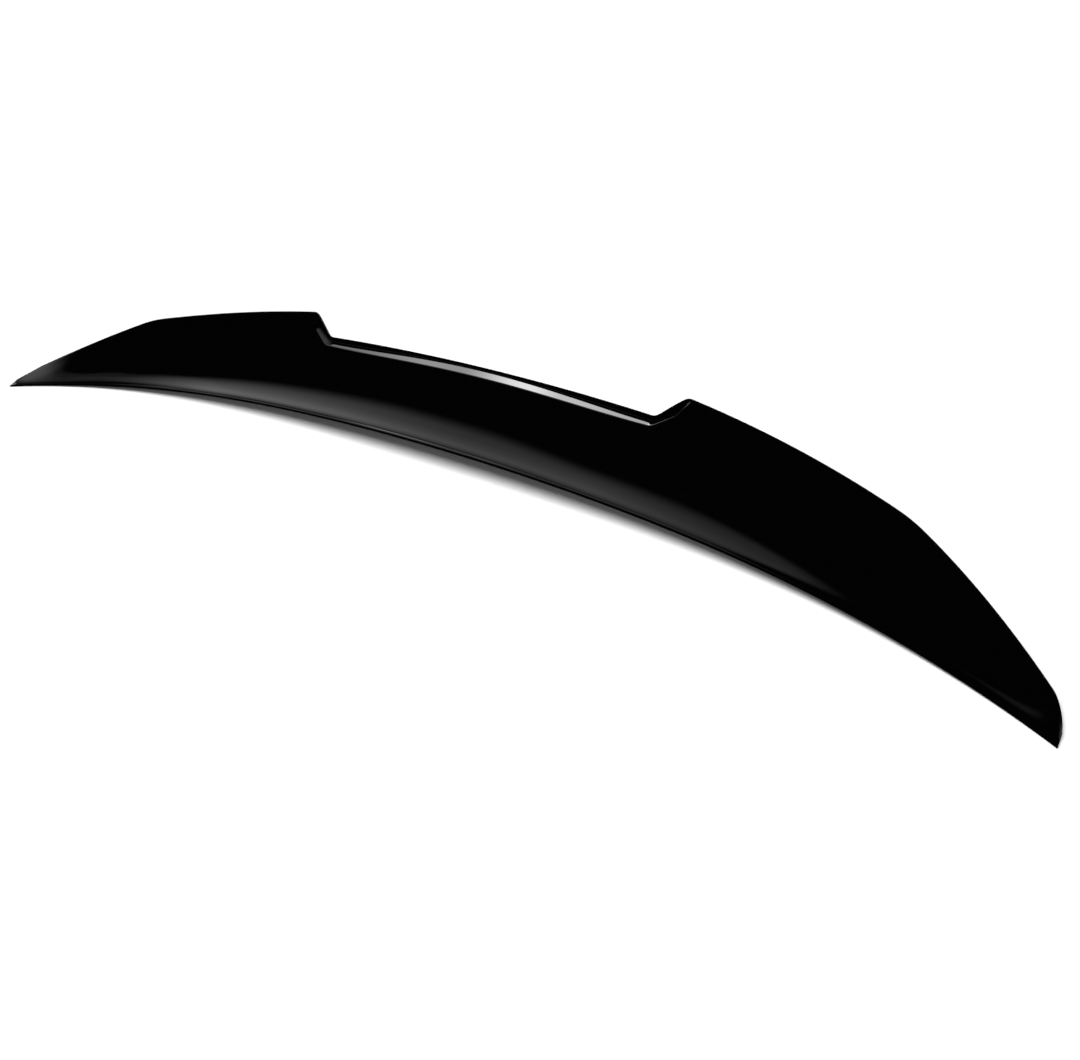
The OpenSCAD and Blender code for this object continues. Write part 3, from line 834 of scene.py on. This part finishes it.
class SpoilerSizes(bpy.types.PropertyGroup):
    """Sizes of the spoiler, as in the part."""
    width: metres("Width", "From tip to tip", 1.24)
    bow: metres("Bow", "How far the middle of the leading edge lies behind the tips", 0.092)
    crown: metres("Crown", "How far the middle of the leading edge lies above the tips", 0.023)
    wall: metres("Wall", "Thickness of the moulding", 0.003)
    mid_chord: metres("Middle Depth", "Depth at the middle without the notch", 0.1166)
    mid_rise: metres("Middle Rise", "Rise at the middle without the notch", 0.0736)
    corner_chord: metres("Corner Depth", "Depth at the outer corners", 0.0807)
    corner_rise: metres("Corner Rise", "Rise at the outer corners", 0.0536)
    corner_from_tip: metres("Corner From Tip", "Distance from a tip to its outer corner", 0.1495)
    corner_soft: metres("Corner Softness", "Softness of the outer corner", 0.0008, precision=5)
    ramp_turn: fraction("Ramp Turn", "Share of the depth where the ramp starts to climb", 0.36)
    tip_round: metres("Tip Round", "Length of the rounded end of a tip", 0.014)
    tip_chord: metres("Tip Depth", "Depth where the rounded end starts", 0.0378)
    tip_rise: metres("Tip Rise", "Rise where the rounded end starts", 0.0107)
    tip_solid: metres("Solid Tip", "Length of a tip that is solid", 0.02)
    notch_half: metres("Notch Half Width", "Half the notch's width along its floor", 0.2114)
    notch_flare: metres("Notch Flare", "How much wider each side is at the top", 0.0277)
    notch_chord: metres("Notch Depth", "Depth to the notch's rear edge at the middle", 0.0976)
    notch_end_chord: metres("Notch End Depth", "Depth to the rear edge at its ends", 0.0934)
    notch_rise: metres("Notch Rise", "Rise of the rear edge at the middle", 0.0439)
    notch_end_rise: metres("Notch End Rise", "Rise of the rear edge at its ends", 0.0462)
    shelf: metres("Shelf", "Width of the shelf at the middle of the notch", 0.0158)
    shelf_end: metres("Shelf End", "Width of the shelf at the ends and along the walls", 0.0114)
    shelf_fade: metres("Shelf Fade", "Length over which it fades out above each wall", 0.012)
    lip: metres("Lip", "Height of the lip that ends the shelf, at the middle", 0.0042)
    lip_end: metres("Lip End", "Height of the lip at the notch's ends", 0.005)
    rear_lean: FloatProperty(name="Rear Lean", description="Angle of the rear face from upright",
                             default=math.radians(32), unit="ROTATION")
    rear_hollow: metres("Rear Hollow", "Hollow of the rear face", 0.003)
    rim: metres("Rim", "Radius of the rounded trailing edge", 0.0018)
    flange: metres("Flange", "Width of the flange under the rear", 0.02)
    channel: metres("Channel", "Width of the bonding channel", 0.012)
    channel_depth: metres("Channel Depth", "Depth of the bonding channel", 0.0008, precision=5)
    rib_count: IntProperty(name="Ribs", description="Ribs on each side of the middle", default=4, min=1)
    rib_pitch: metres("Rib Pitch", "Distance between ribs", 0.108)
    rib_wall: metres("Rib Wall", "Thickness of a rib", 0.0022)
    rib_depth: metres("Rib Depth", "Depth of a rib below the ramp", 0.024)
    spacing: metres("Station Spacing", "Distance between sections of the skin", 0.0026, precision=5)


class SpoilerFinish(bpy.types.PropertyGroup):
    """Colours and gloss of the lacquer and of the raw plastic under it."""
    lacquer: tint("Lacquer", "Colour of the lacquer", (0.0006, 0.0006, 0.0007))
    raw_plastic: tint("Raw Plastic", "Colour of the underside", (0.012, 0.012, 0.013))
    gloss_roughness: fraction("Gloss Roughness", "Roughness of the lacquer", 0.03)
    raw_roughness: fraction("Raw Roughness", "Roughness of the underside", 0.5)
    ripple: fraction("Ripple", "Strength of the lacquer's ripple", 0.03)


class SpoilerStage(bpy.types.PropertyGroup):
    """Camera, floor and light of the picture."""
    eye: FloatVectorProperty(name="Eye", description="Where the camera stands", subtype="XYZ", unit="LENGTH",
                             size=3, default=(0.60985, -0.65532, 0.59428))
    view_angle: FloatProperty(name="View Angle", description="Angle across the picture",
                              default=math.radians(55.994), unit="ROTATION")
    floor_size: metres("Floor Size", "Side of the floor", 30.0)
    floor_glow: level("Floor Glow", "Glow of the floor by the part, where 1 is white", 0.02)
    fill_level: level("Fill Level", "Brightness of the soft fill from all round", 0.3)
    key_level: level("Key Level", "Radiance of the lamp overhead", 6.4)
    tent_radius: metres("Tent Radius", "Radius of the tent that the gloss reflects", 1.6)
    rear_level: level("Rear Level", "Brightness of the low panel behind the part", 1.0)
    over_level: level("Overhead Level", "Brightness of the broad panel overhead", 1.0)
    under_level: level("Floor Reflection", "Brightness of the floor in the rear face", 0.35)


class SPOILER_OT_shell(bpy.types.Operator):
    """Builds the spoiler's lacquered shell as one closed moulding and puts it on its CAD node"""
    bl_idname = "spoiler.shell"
    bl_label = "Build Shell"

    def execute(self, context):
        places, quads, fans, mask = shell_arrays(context.scene.spoiler_sizes)
        if closed_volume(places, (quads, fans)) <= 0:
            raise RuntimeError("the shell's faces point inwards")
        ob = mesh_object("spoiler_skin", places, quads, fans)
        layer = ob.data.attributes.new("underside", "FLOAT", "POINT")
        layer.data.foreach_set("value", mask)
        ob.data.set_sharp_from_angle(angle=SHARP_ANGLE)
        ob.data.materials.append(gloss_black_material(context.scene.spoiler_finish))
        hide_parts(SHELL_NODE)
        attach(ob, "root")
        return {"FINISHED"}


class SPOILER_OT_stage(bpy.types.Operator):
    """Sets up the white floor, the lamp, the reflected panels and the camera"""
    bl_idname = "spoiler.stage"
    bl_label = "Set Stage"

    def execute(self, context):
        stage = context.scene.spoiler_stage
        scene = context.scene
        scene.view_settings.view_transform = "Standard"
        backdrop_world(stage)
        h = stage.floor_size / 2
        corners = np.array([[-h, -h, 0], [h, -h, 0], [h, h, 0], [-h, h, 0]]) - np.array([0, 0, FLOOR_DROP])
        floor = mesh_object("floor", corners, np.array([[0, 1, 2, 3]]), np.zeros((0, 3), int))
        floor.data.materials.append(floor_material(stage))
        floor.visible_glossy = False
        tent = mesh_object("reflected_tent", *globe(stage.tent_radius, *TENT_STEPS))
        tent.data.materials.append(tent_material(stage))
        seen_by_gloss_only(tent)
        area_lamp("overhead_lamp", LAMP_PLACE, (0.0, 0.0, 0.0), LAMP_SIZE, stage.key_level)
        self.camera(scene, stage)
        return {"FINISHED"}

    def camera(self, scene, stage):
        """The photograph's view: its axes were found with the two mirrored halves as a pair of views."""
        data = bpy.data.cameras.new("photo_camera")
        data.sensor_fit = "HORIZONTAL"
        data.angle = stage.view_angle
        data.clip_start, data.clip_end = CAMERA_CLIP
        right = Vector(CAMERA_RIGHT).normalized()
        down = Vector(CAMERA_DOWN).normalized()
        ahead = right.cross(down).normalized()
        turn = Matrix((right, -down, -ahead)).transposed().to_4x4()
        ob = bpy.data.objects.new("photo_camera", data)
        ob.matrix_world = Matrix.Translation(stage.eye) @ turn
        scene.collection.objects.link(ob)
        scene.camera = ob


class SPOILER_PT_panel(bpy.types.Panel):
    """Sizes, finish, stage and build buttons"""
    bl_idname = "SPOILER_PT_panel"
    bl_label = "Boot Lid Spoiler"
    bl_space_type = "VIEW_3D"
    bl_region_type = "UI"
    bl_category = "Spoiler"

    def draw(self, context):
        for holder in ("spoiler_sizes", "spoiler_finish", "spoiler_stage"):
            box = self.layout.box()
            group = getattr(context.scene, holder)
            for name in group.__annotations__:
                box.prop(group, name)
        self.layout.operator(SPOILER_OT_shell.bl_idname)
        self.layout.operator(SPOILER_OT_stage.bl_idname)


CLASSES = (SpoilerSizes, SpoilerFinish, SpoilerStage, SPOILER_OT_shell, SPOILER_OT_stage, SPOILER_PT_panel)


def register():
    for cls in CLASSES:
        bpy.utils.register_class(cls)
    bpy.types.Scene.spoiler_sizes = PointerProperty(type=SpoilerSizes)
    bpy.types.Scene.spoiler_finish = PointerProperty(type=SpoilerFinish)
    bpy.types.Scene.spoiler_stage = PointerProperty(type=SpoilerStage)


def unregister():
    del bpy.types.Scene.spoiler_stage
    del bpy.types.Scene.spoiler_finish
    del bpy.types.Scene.spoiler_sizes
    for cls in reversed(CLASSES):
        bpy.utils.unregister_class(cls)


def main():
    register()
    bpy.ops.spoiler.shell()
    bpy.ops.spoiler.stage()


if __name__ == "__main__":
    main()
